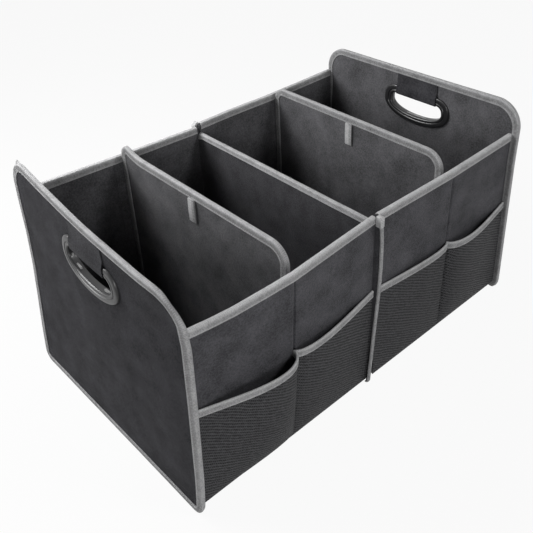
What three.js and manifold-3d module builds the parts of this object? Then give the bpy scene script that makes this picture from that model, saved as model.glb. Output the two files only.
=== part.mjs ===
// Collapsible trunk organizer of cloth over stiff boards, with grey binding tape.
// Millimetres, X along the box, Y towards the rear, Z up. It stands on z = 0.
// Every piece is drawn in an upright, square box and then settled into the shape
// that the cloth takes: ends that lean in and a front wall pushed at its folds.

import * as THREE from 'three';
import { mergeVertices } from 'three/addons/utils/BufferGeometryUtils.js';
import Module from 'manifold-3d';

const wasm = await Module();
wasm.setup();

// Overall sizes
const boxLength = 600;
const boxWidth = 354;
const rimHeight = 276;
const panelHeight = 320;
const panelMargin = 9;
const panelTopRadius = 38;
const panelFootRadius = 14;
const endLean = 11;

// Layers of every stiff panel
const cloth = 0.8;
const board = 2.2;
const seat = 0.3;
const boardInset = 7;
const foldHalf = 6;
const foldDip = 0.9;

// Grey binding tape
const tape = 0.9;
const tapeWidth = 10;
const finTapeWidth = 3.5;
const finCapHeight = 14;
const finTopRadius = 3;
const finFootRadius = 6;

// Middle partition and loose dividers
const partitionHeight = 263;
const dividerHeight = 290;
const dividerRadius = 26;
const dividerPlay = 0.4;
const dividerGap = 16;
const leftDividerX = -133;
const rightDividerX = 157;
const tabWidth = 12;
const tabLength = 34;
const tabShift = 9;

// How far the front wall is pushed outward at its folds, at the rim
const leftFoldPush = 12;
const rightFoldPush = 3;

// Mesh pockets on the front, from left to right
const meshCloth = 0.8;
const pocketHeight = 163;
const firstPocketDepth = 21;
const secondPocketDepth = 10;
const thirdPocketDepth = 7;
const fourthPocketDepth = 14;
const pocketBelly = 0.62;
const pocketPeak = 0.55;

// Moulded grips in the end panels
const gripWidth = 122;
const gripHeight = 56;
const gripRim = 13;
const gripFlange = 3.4;
const gripRound = 1.1;
const gripWall = 2;
const gripTop = 31;
const gripShift = -10;
const gripCorner = 12;
const strapWidth = 74;

// Loose base boards in their sleeves
const basePlay = 1.5;
const sleeveSeam = 4;

// Mesh fineness, and the least radius that is drawn as an arc
const roundLimit = 0.5;
const cornerSteps = 6;
const wallCells = 5;
const pocketCells = 6;
const pocketCrowding = 1.6;

// Sizes worked out from the ones above
const skin = tape + seat;
const panelThickness = 2 * cloth + board + 2 * seat;
const endFace = boxLength / 2 - skin;
const endInside = endFace - panelThickness;
const wallFace = boxWidth / 2;
const wallInside = wallFace - panelThickness;
const partitionFace = panelThickness / 2;
const wallStart = partitionFace + seat;
const wallEnd = endInside - seat;
const foldX = (wallStart + wallEnd) / 2;
const trimStart = wallStart + skin;
const trimEnd = wallEnd - skin;
const wallFoot = panelMargin;
const wallTop = rimHeight - skin;
const finFace = wallFace + panelMargin;
const panelTapeWidth = panelMargin - seat;
const floorTop = wallFoot + cloth;
const baseTop = floorTop + seat + panelThickness;

// Colours of the real materials
const clothLook = { color: 0x3d3d40, roughness: 0.85, metalness: 0 };
const liningLook = { color: 0x333336, roughness: 0.85, metalness: 0 };
const meshLook = { color: 0x34343a, roughness: 0.8, metalness: 0 };
const tapeLook = { color: 0x9a9a9e, roughness: 0.75, metalness: 0 };
const gripLook = { color: 0x141416, roughness: 0.3, metalness: 0 };
const boardLook = { color: 0x8a7355, roughness: 0.9, metalness: 0 };

const organizer = new THREE.Group();

// 0 at the ends of a wall and 1 at its fold
function foldShare(x) {
  const along = (Math.abs(x) - wallStart) / (foldX - wallStart);
  return THREE.MathUtils.clamp(Math.min(along, 2 - along), 0, 1);
}

// 0 from the middle to the folds and 1 at the end panels
function endShare(x) {
  return THREE.MathUtils.clamp((Math.abs(x) - foldX) / (wallEnd - foldX), 0, 1);
}

// Where a point of the square box comes to lie in the settled one
function settle(point) {
  const push = point.x < 0 ? leftFoldPush : rightFoldPush;
  const share = foldShare(point.x) * (point.z / rimHeight);
  if (point.y < 0) {
    point.y *= 1 + (push * share) / wallFace;
  }
  const lean = endLean * endShare(point.x) * (point.z / panelHeight);
  point.x -= Math.sign(point.x) * lean;
  return point;
}

function moveVertices(geometry, move) {
  const position = geometry.attributes.position;
  const point = new THREE.Vector3();
  for (let i = 0; i < position.count; i += 1) {
    point.fromBufferAttribute(position, i);
    move(point);
    position.setXYZ(i, point.x, point.y, point.z);
  }
  return geometry;
}

// Only positions, with shared vertices merged
function weld(geometry) {
  const bare = geometry.clone();
  bare.deleteAttribute('normal');
  bare.deleteAttribute('uv');
  return mergeVertices(bare, 1e-4);
}

function toSolid(geometry) {
  const welded = weld(geometry);
  return new wasm.Manifold(new wasm.Mesh({
    numProp: 3,
    vertProperties: new Float32Array(welded.attributes.position.array),
    triVerts: new Uint32Array(welded.index.array),
  }));
}

function toGeometry(solid) {
  const mesh = solid.getMesh();
  const geometry = new THREE.BufferGeometry();
  geometry.setAttribute('position', new THREE.BufferAttribute(mesh.vertProperties, 3));
  geometry.setIndex(new THREE.BufferAttribute(mesh.triVerts, 1));
  return geometry;
}

// A wall piece that is mirrored has its faces turned back the right way
function mirror(geometry, axis) {
  const copy = weld(geometry);
  moveVertices(copy, (point) => {
    point[axis] *= -1;
  });
  const index = copy.index.array;
  for (let i = 0; i < index.length; i += 3) {
    [index[i], index[i + 1]] = [index[i + 1], index[i]];
  }
  return copy;
}

function addPiece(name, geometry, look) {
  const settled = moveVertices(weld(geometry), settle);
  settled.computeVertexNormals();
  const piece = new THREE.Mesh(settled, new THREE.MeshStandardMaterial(look));
  piece.name = name;
  organizer.add(piece);
}

// Evenly spaced stations from a to b
function spread(a, b, cells) {
  return Array.from({ length: cells + 1 }, (_, i) => a + ((b - a) * i) / cells);
}

// A block whose grid lines stand at the given stations
function gridBlock(xs, ys, zs) {
  const counts = [xs, ys, zs].map((stations) => stations.length - 1);
  const block = new THREE.BoxGeometry(...counts, ...counts);
  return moveVertices(block, (point) => {
    point.x = xs[Math.round(point.x + counts[0] / 2)];
    point.y = ys[Math.round(point.y + counts[1] / 2)];
    point.z = zs[Math.round(point.z + counts[2] / 2)];
  });
}

// A closed outline whose corners, given in turn anticlockwise, are rounded by arcs
function roundedShape(corners) {
  const shape = new THREE.Shape();
  corners.forEach(([x, y, radius], i) => {
    const corner = new THREE.Vector2(x, y);
    const draw = (point) => {
      if (i === 0) {
        shape.moveTo(point.x, point.y);
      } else {
        shape.lineTo(point.x, point.y);
      }
    };
    if (radius < roundLimit) {
      draw(corner);
      return;
    }
    const [before, after] = [corners.at(i - 1), corners[(i + 1) % corners.length]]
      .map(([a, b]) => new THREE.Vector2(a, b).sub(corner).setLength(radius));
    const centre = corner.clone().add(before).add(after);
    const start = Math.atan2(-after.y, -after.x);
    draw(corner.clone().add(before));
    shape.absarc(centre.x, centre.y, radius, start, start + Math.PI / 2, false);
  });
  shape.closePath();
  return shape;
}

// A rectangle in (y, z) with its own radius at the foot and at the top
function panelShape(half, foot, top, footRadius, topRadius) {
  return roundedShape([
    [half, foot, footRadius],
    [half, top, topRadius],
    [-half, top, topRadius],
    [-half, foot, footRadius],
  ]);
}

// A shape drawn in (y, z) and given its thickness from x = low to x = high
function slab(shape, low, high, bevel = 0) {
  const geometry = new THREE.ExtrudeGeometry(shape, {
    depth: high - low - 2 * bevel,
    curveSegments: cornerSteps,
    bevelEnabled: bevel > 0,
    bevelThickness: bevel,
    bevelSize: bevel,
    bevelOffset: -bevel,
    bevelSegments: 2,
  });
  return moveVertices(geometry, (point) => {
    point.set(point.z + low + bevel, point.x, point.y);
  });
}

// The outline of a strip that follows a centre line with mitred corners
function ribbon(points, thickness) {
  const line = points.map(([a, b]) => new THREE.Vector2(a, b));
  const sides = [[], []];
  line.forEach((point, i) => {
    const into = point.clone().sub(line[Math.max(i - 1, 0)]);
    const out = line[Math.min(i + 1, line.length - 1)].clone().sub(point);
    const first = (into.length() > 0 ? into : out).normalize();
    const second = (out.length() > 0 ? out : first).clone().normalize();
    const normal = new THREE.Vector2(-first.y - second.y, first.x + second.x).normalize();
    const reach = thickness / 2 / normal.dot(new THREE.Vector2(-first.y, first.x));
    sides[0].push(point.clone().addScaledVector(normal, reach));
    sides[1].push(point.clone().addScaledVector(normal, -reach));
  });
  return new THREE.Shape([...sides[0], ...sides[1].reverse()]);
}

// Tape folded over an upper edge that runs along X, with a station at each x given
function tapeOverRim(xs, nearFace, farFace, top, width) {
  const out = seat + tape / 2;
  const low = top + skin - width;
  const high = top + out;
  const section = ribbon([
    [nearFace - out, low],
    [nearFace - out, high],
    [farFace + out, high],
    [farFace + out, low],
  ], tape);
  const cells = xs.length - 1;
  const run = new THREE.ExtrudeGeometry(section, { depth: cells, steps: cells, bevelEnabled: false });
  return moveVertices(run, (point) => {
    point.set(xs[Math.round(point.z)], point.x, point.y);
  });
}

// Tape folded round the edge of an upright panel, as a ring. On the near face its
// lower corners are square, to clear the walls that are sewn on there.
function tapeRing(x, half, foot, top, footRadius, topRadius, width) {
  const reach = panelThickness / 2 + skin;
  const slot = panelThickness / 2 + seat;
  const inset = width - skin;
  const outer = panelShape(half + skin, foot - skin, top + skin, footRadius + skin, topRadius + skin);
  const edge = panelShape(half + seat, foot - seat, top + seat, footRadius + seat, topRadius + seat);
  const windowAt = (cornerRadius) => panelShape(
    half - inset,
    foot + inset,
    top - inset,
    cornerRadius,
    topRadius - inset,
  );
  outer.holes.push(windowAt(footRadius - inset));
  const band = toSolid(slab(outer, x - reach, x + reach));
  const fold = toSolid(slab(edge, x - slot, x + slot));
  const nearWindow = toSolid(slab(windowAt(0), x - 2 * reach, x - slot));
  return toGeometry(band.subtract(fold).subtract(nearWindow));
}

// The three x ranges of a panel: near cloth, board, far cloth
function layersAt(x) {
  const half = panelThickness / 2;
  return {
    near: [x - half, x - half + cloth],
    board: [x - board / 2, x + board / 2],
    far: [x + half - cloth, x + half],
  };
}

// Hand hole: straight along the top, with round shoulders and a bowed lower edge
function gripShape(grow) {
  const half = gripWidth / 2 - gripRim + grow;
  const top = panelHeight - gripTop - gripRim + grow;
  const depth = gripHeight - 2 * gripRim + 2 * grow;
  const corner = gripCorner + grow;
  const middle = gripShift;
  const left = middle - half;
  const right = middle + half;
  const flare = half * 0.55;
  const shape = new THREE.Shape();
  shape.moveTo(left + corner, top);
  shape.quadraticCurveTo(left, top, left, top - corner);
  shape.bezierCurveTo(left, top - depth * 0.8, middle - flare, top - depth, middle, top - depth);
  shape.bezierCurveTo(middle + flare, top - depth, right, top - depth * 0.8, right, top - corner);
  shape.quadraticCurveTo(right, top, right - corner, top);
  shape.closePath();
  return shape;
}

function gripRing(low, high, outerGrow, innerGrow, bevel) {
  const shape = gripShape(outerGrow);
  shape.holes.push(new THREE.Path(gripShape(innerGrow).getPoints(cornerSteps)));
  return slab(shape, low, high, bevel);
}

function buildEnd(side, sign) {
  const centre = endFace - panelThickness / 2;
  const layers = layersAt(centre);
  const half = finFace - skin;
  const top = panelHeight - skin;
  const add = (part, geometry, look) => {
    addPiece(`${side}_end_${part}`, sign < 0 ? mirror(geometry, 'x') : geometry, look);
  };

  const fullPanel = (holeGrow) => {
    const shape = panelShape(half, skin, top, panelFootRadius, panelTopRadius);
    shape.holes.push(new THREE.Path(gripShape(holeGrow).getPoints(cornerSteps)));
    return shape;
  };
  add('outer_cloth', slab(fullPanel(gripWall + seat), ...layers.far), clothLook);
  add('lining', slab(fullPanel(gripWall + seat), ...layers.near), liningLook);

  const stiffener = panelShape(
    half - boardInset,
    skin + boardInset,
    top - boardInset,
    panelFootRadius - boardInset,
    panelTopRadius - boardInset,
  );
  stiffener.holes.push(new THREE.Path(gripShape(gripWall + seat).getPoints(cornerSteps)));
  add('board', slab(stiffener, ...layers.board), boardLook);
  add('edge_binding', tapeRing(
    centre,
    half,
    skin,
    top,
    panelFootRadius,
    panelTopRadius,
    panelTapeWidth,
  ), tapeLook);

  // The outer half of the grip carries a collar that runs through the panel
  const outerLow = endFace + seat;
  const innerHigh = endInside - seat;
  const outerFlange = toSolid(gripRing(outerLow, outerLow + gripFlange, gripRim, 0, gripRound));
  const collar = toSolid(gripRing(innerHigh + seat, outerLow + gripFlange / 2, gripWall, 0, 0));
  add('outer_grip', toGeometry(outerFlange.add(collar)), gripLook);
  add('inner_grip', gripRing(innerHigh - gripFlange, innerHigh, gripRim, 0, gripRound), gripLook);

  // Cloth strap from under the binding, over the grip's straight top bar and back up
  const strapTop = top + skin - panelTapeWidth - seat;
  const barTop = panelHeight - gripTop;
  const holeTop = barTop - gripRim;
  const lift = seat + gripFlange + seat + cloth / 2;
  const near = seat + cloth / 2;
  const under = holeTop - seat - cloth / 2;
  const centreLine = [
    [endFace + near, strapTop],
    [endFace + near, barTop + lift],
    [endFace + lift, barTop - gripRound],
    [endFace + lift, under],
    [endInside - lift, under],
    [endInside - lift, barTop - gripRound],
    [endInside - near, barTop + lift],
    [endInside - near, strapTop],
  ];
  const strap = new THREE.ExtrudeGeometry(ribbon(centreLine, cloth), {
    depth: strapWidth,
    bevelEnabled: false,
  });
  moveVertices(strap, (point) => {
    point.set(point.x, gripShift + strapWidth / 2 - point.z, point.y);
  });
  add('grip_strap', strap, clothLook);
}

// One layer of a long wall, pinched towards the other layer at the fold line
function wallLayer(faceOut, faceIn, dip, cells) {
  const reach = foldHalf;
  const xs = [
    ...spread(wallStart, foldX - reach, cells),
    foldX,
    ...spread(foldX + reach, wallEnd, cells),
  ];
  const layer = gridBlock(xs, [-faceOut, -faceIn], spread(wallFoot, wallTop, cells));
  return moveVertices(layer, (point) => {
    if (Math.abs(point.x - foldX) < reach / 2) {
      point.y += dip;
    }
  });
}

function buildWall(place, side, cells) {
  const name = `${place}_${side}_wall`;
  const add = (part, geometry, look) => {
    const turned = place === 'rear' ? mirror(geometry, 'y') : geometry;
    addPiece(`${name}_${part}`, side === 'left' ? mirror(turned, 'x') : turned, look);
  };
  const layers = layersAt(wallFace - panelThickness / 2);
  add('outer_cloth', wallLayer(layers.far[1], layers.far[0], foldDip, cells), clothLook);
  add('lining', wallLayer(layers.near[1], layers.near[0], -foldDip, cells), liningLook);

  const heights = spread(wallFoot + boardInset, wallTop - boardInset, cells);
  const spans = {
    inner_board: [wallStart + boardInset, foldX - foldHalf],
    outer_board: [foldX + foldHalf, wallEnd - boardInset],
  };
  for (const [part, span] of Object.entries(spans)) {
    const stiffener = gridBlock(spread(...span, cells), [-layers.board[1], -layers.board[0]], heights);
    add(part, stiffener, boardLook);
  }
  const rim = tapeOverRim([trimStart, foldX, trimEnd], -wallFace, -wallInside, wallTop, tapeWidth);
  add('rim_binding', rim, tapeLook);
}

// How far a mesh pocket stands off the wall, the most of it near the fold line
function pocketReach(x, z, depths) {
  const along = Math.abs(x);
  const inner = along < foldX;
  const width = inner ? foldX - trimStart : trimEnd - foldX;
  const share = THREE.MathUtils.clamp(Math.abs(along - foldX) / width, 0, 1);
  const depth = inner ? depths.inner : depths.outer;
  const crown = Math.max(Math.sin(Math.PI * share ** pocketPeak), 0);
  const belt = pocketHeight - tapeWidth - skin;
  const up = THREE.MathUtils.clamp((z - wallFoot) / (belt - wallFoot), 0, 1);
  return depth * crown * Math.sin((Math.PI / 2) * up ** pocketBelly);
}

// Stations along both pockets of a half, closer together near the fold line
function pocketStations() {
  const steps = spread(0, 1, pocketCells).map((step) => step ** pocketCrowding);
  const inward = steps.map((step) => foldX - step * (foldX - trimStart));
  const outward = steps.map((step) => foldX + step * (trimEnd - foldX));
  return [...inward.reverse(), ...outward.slice(1)];
}

function buildPocket(side) {
  const depths = side === 'left'
    ? { outer: firstPocketDepth, inner: secondPocketDepth }
    : { inner: thirdPocketDepth, outer: fourthPocketDepth };
  const xs = pocketStations();
  const belt = pocketHeight - tapeWidth - skin;
  const meshBack = wallFace + skin;
  const meshFace = meshBack + meshCloth;
  const zs = [...spread(wallFoot, belt, wallCells), pocketHeight - skin];
  const puff = (geometry) => moveVertices(geometry, (point) => {
    point.y -= pocketReach(point.x, point.z, depths);
  });
  const place = (geometry) => (side === 'left' ? mirror(geometry, 'x') : geometry);
  const sheet = puff(gridBlock(xs, [-meshFace, -meshBack], zs));
  addPiece(`front_${side}_pocket_mesh`, place(sheet), meshLook);
  const band = puff(tapeOverRim(xs, -meshFace, -meshBack, pocketHeight - skin, tapeWidth));
  addPiece(`front_${side}_pocket_binding`, place(band), tapeLook);
}

// Partition between the two halves, with fins that stand out past the walls
function partitionShape(grow) {
  const fin = finFace - skin + grow;
  const foot = skin - grow;
  const finTop = wallTop + grow;
  const shoulder = wallInside - skin - grow;
  const middle = partitionHeight - skin + grow;
  return roundedShape([
    [fin, foot, finFootRadius + grow],
    [fin, finTop, finTopRadius + grow],
    [shoulder, finTop, 0],
    [shoulder, middle, 0],
    [-shoulder, middle, 0],
    [-shoulder, finTop, 0],
    [-fin, finTop, finTopRadius + grow],
    [-fin, foot, finFootRadius + grow],
  ]);
}

function buildPartition() {
  const layers = layersAt(0);
  addPiece('partition_left_cloth', slab(partitionShape(0), ...layers.near), clothLook);
  addPiece('partition_right_cloth', slab(partitionShape(0), ...layers.far), clothLook);
  const stiffener = panelShape(
    wallInside - boardInset,
    wallFoot + boardInset,
    partitionHeight - skin - boardInset,
    0,
    0,
  );
  addPiece('partition_board', slab(stiffener, ...layers.board), boardLook);

  // Edge tape of the fins and the foot, with a wider cap over the top of each fin
  const reach = partitionFace + skin;
  const inset = finFace - finTapeWidth;
  const capFoot = rimHeight - finCapHeight;
  const capInside = wallFace + skin + seat;
  const opening = new THREE.Shape([
    new THREE.Vector2(-inset, finTapeWidth),
    new THREE.Vector2(inset, finTapeWidth),
    new THREE.Vector2(inset, capFoot),
    new THREE.Vector2(capInside, capFoot),
    new THREE.Vector2(capInside, panelHeight),
    new THREE.Vector2(-capInside, panelHeight),
    new THREE.Vector2(-capInside, capFoot),
    new THREE.Vector2(-inset, capFoot),
  ]);
  const band = toSolid(slab(
    panelShape(finFace, 0, rimHeight, finFootRadius + skin, finTopRadius + skin),
    -reach,
    reach,
  ));
  const slot = toSolid(slab(
    partitionShape(seat),
    -partitionFace - seat,
    partitionFace + seat,
  ));
  const gap = toSolid(slab(opening, -2 * reach, 2 * reach));
  addPiece('partition_edge_binding', toGeometry(band.subtract(slot).subtract(gap)), tapeLook);

  const half = wallInside - skin - seat;
  const top = tapeOverRim([-half, half], -partitionFace, partitionFace, partitionHeight - skin, tapeWidth);
  const across = moveVertices(top, (point) => {
    point.set(-point.y, point.x, point.z);
  });
  addPiece('partition_top_binding', across, tapeLook);
}

// A divider stands against the rear wall and leaves a gap at the front one
function buildDivider(side, x) {
  const half = wallInside - skin - dividerPlay - skin - dividerGap / 2;
  const addBack = (name, geometry, look) => {
    const moved = moveVertices(geometry, (point) => {
      point.y += dividerGap / 2;
    });
    addPiece(name, moved, look);
  };
  const foot = baseTop + seat + skin;
  const top = dividerHeight - skin;
  const layers = layersAt(x);
  const outline = panelShape(half, foot, top, 0, dividerRadius);
  const name = `${side}_divider`;
  addBack(`${name}_left_cloth`, slab(outline, ...layers.near), clothLook);
  addBack(`${name}_right_cloth`, slab(outline, ...layers.far), clothLook);
  const stiffener = panelShape(
    half - boardInset,
    foot + boardInset,
    top - boardInset,
    0,
    dividerRadius - boardInset,
  );
  addBack(`${name}_board`, slab(stiffener, ...layers.board), boardLook);
  const ring = tapeRing(x, half, foot, top, 0, dividerRadius, tapeWidth);
  addBack(`${name}_binding`, ring, tapeLook);

  // Pull tab: a short length of tape folded double, hanging below the top binding
  const face = x - panelThickness / 2;
  const tabTop = dividerHeight - tapeWidth - seat;
  const tabFoot = tabTop - tabLength;
  const close = face - seat - tape / 2;
  const apart = close - tape - seat;
  const loop = ribbon([[close, tabTop], [close, tabFoot], [apart, tabFoot], [apart, tabTop]], tape);
  const tab = new THREE.ExtrudeGeometry(loop, { depth: tabWidth, bevelEnabled: false });
  moveVertices(tab, (point) => {
    point.set(point.x, tabShift + tabWidth / 2 - point.z, point.y);
  });
  addPiece(`${name}_pull_tab`, tab, tapeLook);
}

function buildBase(side, sign) {
  const span = (from, to) => (sign < 0 ? [-to, -from] : [from, to]);
  const floorHalf = wallInside - seat;
  const [near, far] = span(wallStart, wallEnd);
  const floor = gridBlock(
    [near, sign * foldX, far],
    [-floorHalf, floorHalf],
    [wallFoot, floorTop],
  );
  addPiece(`${side}_floor_cloth`, floor, clothLook);

  // The sleeve is sewn on three sides and open at the rear
  const low = floorTop + seat;
  const half = wallInside - basePlay;
  const from = wallStart + basePlay;
  const to = wallEnd - basePlay;
  const sleeve = toSolid(gridBlock(span(from, to), [-half, half], [low, baseTop]));
  const inside = toSolid(gridBlock(
    span(from + sleeveSeam - seat, to - sleeveSeam + seat),
    [-half + sleeveSeam - seat, half + sleeveSeam],
    [low + cloth, baseTop - cloth],
  ));
  addPiece(`${side}_base_sleeve`, toGeometry(sleeve.subtract(inside)), liningLook);
  const stiffener = gridBlock(
    span(from + sleeveSeam, to - sleeveSeam),
    [-half + sleeveSeam, half - sleeveSeam],
    [low + cloth + seat, baseTop - cloth - seat],
  );
  addPiece(`${side}_base_board`, stiffener, boardLook);
}

for (const [side, sign] of [['left', -1], ['right', 1]]) {
  buildEnd(side, sign);
  buildBase(side, sign);
  buildWall('front', side, wallCells);
  buildWall('rear', side, 1);
  buildPocket(side);
}
buildPartition();
buildDivider('left', leftDividerX);
buildDivider('right', rightDividerX);

// The origin lies on the ground under the middle of the settled form
const bounds = new THREE.Box3().setFromObject(organizer);
organizer.position.y = -(bounds.min.y + bounds.max.y) / 2;

export default organizer;
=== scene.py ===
import math
from functools import partial

import bmesh
import bpy
from mathutils import Matrix, Vector, noise


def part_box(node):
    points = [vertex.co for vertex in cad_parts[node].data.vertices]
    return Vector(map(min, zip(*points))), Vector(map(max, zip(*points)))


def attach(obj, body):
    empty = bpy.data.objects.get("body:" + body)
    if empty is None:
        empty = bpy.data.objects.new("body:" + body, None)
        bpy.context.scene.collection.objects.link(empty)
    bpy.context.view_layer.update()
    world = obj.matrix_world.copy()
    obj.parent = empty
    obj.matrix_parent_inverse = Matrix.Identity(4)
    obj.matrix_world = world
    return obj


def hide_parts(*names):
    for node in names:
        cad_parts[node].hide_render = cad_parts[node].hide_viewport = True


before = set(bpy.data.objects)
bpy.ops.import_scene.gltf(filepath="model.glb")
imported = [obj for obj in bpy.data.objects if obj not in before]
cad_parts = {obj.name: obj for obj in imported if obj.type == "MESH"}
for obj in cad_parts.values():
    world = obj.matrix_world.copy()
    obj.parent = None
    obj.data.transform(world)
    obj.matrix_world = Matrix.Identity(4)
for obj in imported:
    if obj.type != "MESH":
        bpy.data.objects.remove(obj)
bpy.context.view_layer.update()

# Sizes of the frame, in millimetres as the solids have them
MM = 0.001
BOX_LENGTH = 600.0
BOX_WIDTH = 354.0
RIM_HEIGHT = 276.0
PANEL_HEIGHT = 320.0
PANEL_MARGIN = 9.0
PANEL_TOP_RADIUS = 38.0
PANEL_FOOT_RADIUS = {"left": 14.0, "right": 8.0}
END_LEAN = 11.0
CLOTH = 0.8
BOARD = 2.2
SEAT = 0.3
BOARD_INSET = 7.0
TAPE = 0.9
TAPE_WIDTH = 10.0
PARTITION_TAPE_WIDTH = 7.6
FIN_CAP_HEIGHT = 14.0
FIN_FOOT_RADIUS = 6.0
FIN_FOOT_LIFT = 5.0
FIN_HALF = 1.5
FIN_TAPE_FLANGE = 1.4
PARTITION_HEIGHT = 263.0
DIVIDER_HEIGHT = 287.5
DIVIDER_RADII = {"left": (26.0, 17.0), "right": (26.0, 18.0)}
DIVIDER_LIFT = {"left": 9.0, "right": 0.0}
DIVIDER_PLAY = 0.4
DIVIDER_GAP = 16.0
DIVIDER_X = {"left": -133.0, "right": 157.0}
TAB_WIDTH = 12.0
TAB_LENGTH = 34.0
TAB_SHIFT = 9.0
FOLD_PUSH = {"left": 12.0, "right": 3.0}
MESH_CLOTH = 0.8
POCKET_HEIGHT = 163.0
POCKET_DEPTHS = {"left": {"outer": 21.0, "inner": 10.0}, "right": {"outer": 14.0, "inner": 7.0}}
POCKET_BELLY = 0.62
POCKET_PEAK = 0.55
GRIP_WIDTH = 122.0
GRIP_HEIGHT = 56.0
GRIP_RIM = 13.0
GRIP_FLANGE = 3.4
GRIP_WALL = 2.0
GRIP_TOP = 31.0
GRIP_SHIFT = -10.0
GRIP_CORNER = 12.0
STRAP_WIDTH = 74.0
GRIP_LIFT = {"left": -2.0, "right": 2.3}
BASE_PLAY = 1.5

# Sizes worked out from the ones above
SKIN = TAPE + SEAT
THICK = 2 * CLOTH + BOARD + 2 * SEAT
END_FACE = BOX_LENGTH / 2 - SKIN
END_INSIDE = END_FACE - THICK
WALL_FACE = BOX_WIDTH / 2
WALL_INSIDE = WALL_FACE - THICK
WALL_START = THICK / 2 + SEAT
WALL_END = END_INSIDE - SEAT
FOLD_X = (WALL_START + WALL_END) / 2
TRIM_START = WALL_START + SKIN
TRIM_END = WALL_END - SKIN
WALL_FOOT = PANEL_MARGIN
WALL_TOP = RIM_HEIGHT - SKIN
FIN_FACE = WALL_FACE + PANEL_MARGIN
PANEL_TAPE_WIDTH = PANEL_MARGIN - SEAT
FLOOR_TOP = WALL_FOOT + CLOTH
BASE_TOP = FLOOR_TOP + SEAT + THICK
COVER_DEPTH = CLOTH + 1.0

# Signs and axes, stitch pitches, and the steps of the grids
SIDES = {"left": -1, "right": 1}
X_AXIS, Y_AXIS, Z_AXIS = (Vector(row) for row in Matrix.Identity(3))
TAPE_STITCH_PITCH = 3.4
STRAP_STITCH_PITCH = 3.2
FOLD_STITCH_PITCH = 3.6
STITCH_INSET = 2.0
MESH_CELL = 4.0
FINE_CELL = 6.0
CLOTH_CELL = 7.0
COARSE_CELL = 9.0
FLAT_CELL = 12.0
SHARP_ANGLE = math.radians(50)

# The solids' square box is moved back by this much, so that the origin is central
FRAME_SHIFT_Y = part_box("partition_edge_binding")[1][1] / MM - FIN_FACE


def clamp(value, low=0.0, high=1.0):
    return max(low, min(high, value))


def fold_share(x):
    along = (abs(x) - WALL_START) / (FOLD_X - WALL_START)
    return clamp(min(along, 2 - along))


def end_share(x):
    return clamp((abs(x) - FOLD_X) / (WALL_END - FOLD_X))


def along_curve(curve, at):
    """The value at a place between the (place, value) pairs of a curve."""
    for (a, low), (b, high) in zip(curve, curve[1:]):
        if at <= b:
            return low + (high - low) * clamp((at - a) / (b - a))
    return curve[-1][1]


# How far each end bows towards +X along its four edges: (height or y, mm)
BOW = {
    "left": {
        "rear": [
            (0, -3.4), (23, -2.7), (59, -1.2), (112, 2.0), (162, 4.8), (212, 5.6), (259, 4.6), (320, 4.4),
        ],
        "front": [(0, -1.0), (60, 1.0), (180, 1.0), (255, 0.0), (285, -3.0), (305, -7.0), (320, -11.0)],
        "top": [(-186, -11.0), (-120, -11.0), (0, -6.5), (186, 4.4)],
        "foot": [(-186, -1.0), (-60, -1.6), (60, -2.6), (186, -3.4)],
    },
    "right": {
        "rear": [(0, 0.0), (320, 0.0)],
        "front": [(0, 2.5), (150, 2.0), (230, 2.0), (290, 4.5), (320, 6.0)],
        "top": [(-186, 6.0), (186, 0.0)],
        "foot": [(-186, 2.5), (186, 0.0)],
    },
}
# How far the middle fins bend towards +X: (height, mm)
FIN_BEND = [
    (0, -11.0), (30, -9.0), (60, -6.5), (95, -4.0), (130, -0.8),
    (160, 1.8), (200, 3.2), (235, 3.0), (276, 0.0),
]
# How far the rims rise or sag, along x, and how far the ends rise at one corner
FRONT_SAG = [
    (-295, -4.0), (-262, -6.0), (-230, -6.5), (-185, -4.0),
    (-148, -1.0), (-100, -1.0), (0, -1.5), (295, 0.0),
]
REAR_SAG = [
    (-295, 8.0), (-200, 4.0), (-148, 1.5), (-4, -4.7), (4, 0.8), (60, 1.2), (148, -0.5), (295, 1.0),
]
CORNER_RISE = {"left": 13.0, "right": 2.5}
FOOT_RISE = {"left": 3.0, "right": 1.0}
BELLY = {"left": -6.0, "right": 0.0}
CURL = {"left": 0.0, "right": -8.0}
TUCK = {"left": 0.0, "right": 9.0}


def bow(side, y, z):
    """The warp of an end, blended between its four edges."""
    edges = BOW[side]
    across = clamp((y + FIN_FACE) / (2 * FIN_FACE))
    up = clamp(z / PANEL_HEIGHT)
    sides = (1 - across) * along_curve(edges["front"], z) + across * along_curve(edges["rear"], z)
    ends = (1 - up) * along_curve(edges["foot"], y) + up * along_curve(edges["top"], y)
    foot = (1 - across) * edges["foot"][0][1] + across * edges["foot"][-1][1]
    top = (1 - across) * edges["top"][0][1] + across * edges["top"][-1][1]
    belly = BELLY[side] * math.sin(math.pi * across) * math.sin(math.pi * up ** 1.5)
    curl = CURL[side] * clamp((-y - 160.0) / 26.0) * clamp(1 - z / 16.0) ** 2
    return sides + ends - (1 - up) * foot - up * top + belly + curl


def rise(side, x, y, z):
    """The sag of the long rims, and the raised corner of each end, in z."""
    up = clamp(z / RIM_HEIGHT) ** 4
    to_end = 1 - clamp((abs(x) - WALL_END) / 2.0)
    near_wall = clamp((abs(y) - WALL_INSIDE + 12.0) / 10.0)
    sag = along_curve(FRONT_SAG if y < 0 else REAR_SAG, x) * near_wall * to_end
    foot = FOOT_RISE[side] * clamp(1 - z / 50.0) * near_wall * to_end if y < 0 else 0.0
    toward = y if side == "left" else -y
    outside = clamp((abs(x) - WALL_END) / 0.2)
    near_corner = clamp((toward + 100.0) / 286.0) ** 2
    corner = CORNER_RISE[side] * outside * near_corner * clamp(z / PANEL_HEIGHT) ** 2
    return sag * up + foot + corner


def tuck(side, y, z):
    """How far an end's rear edge leans forward above the rims."""
    return TUCK[side] * clamp((y - 100.0) / 80.0) * clamp((z - 150.0) / 100.0)


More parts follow.
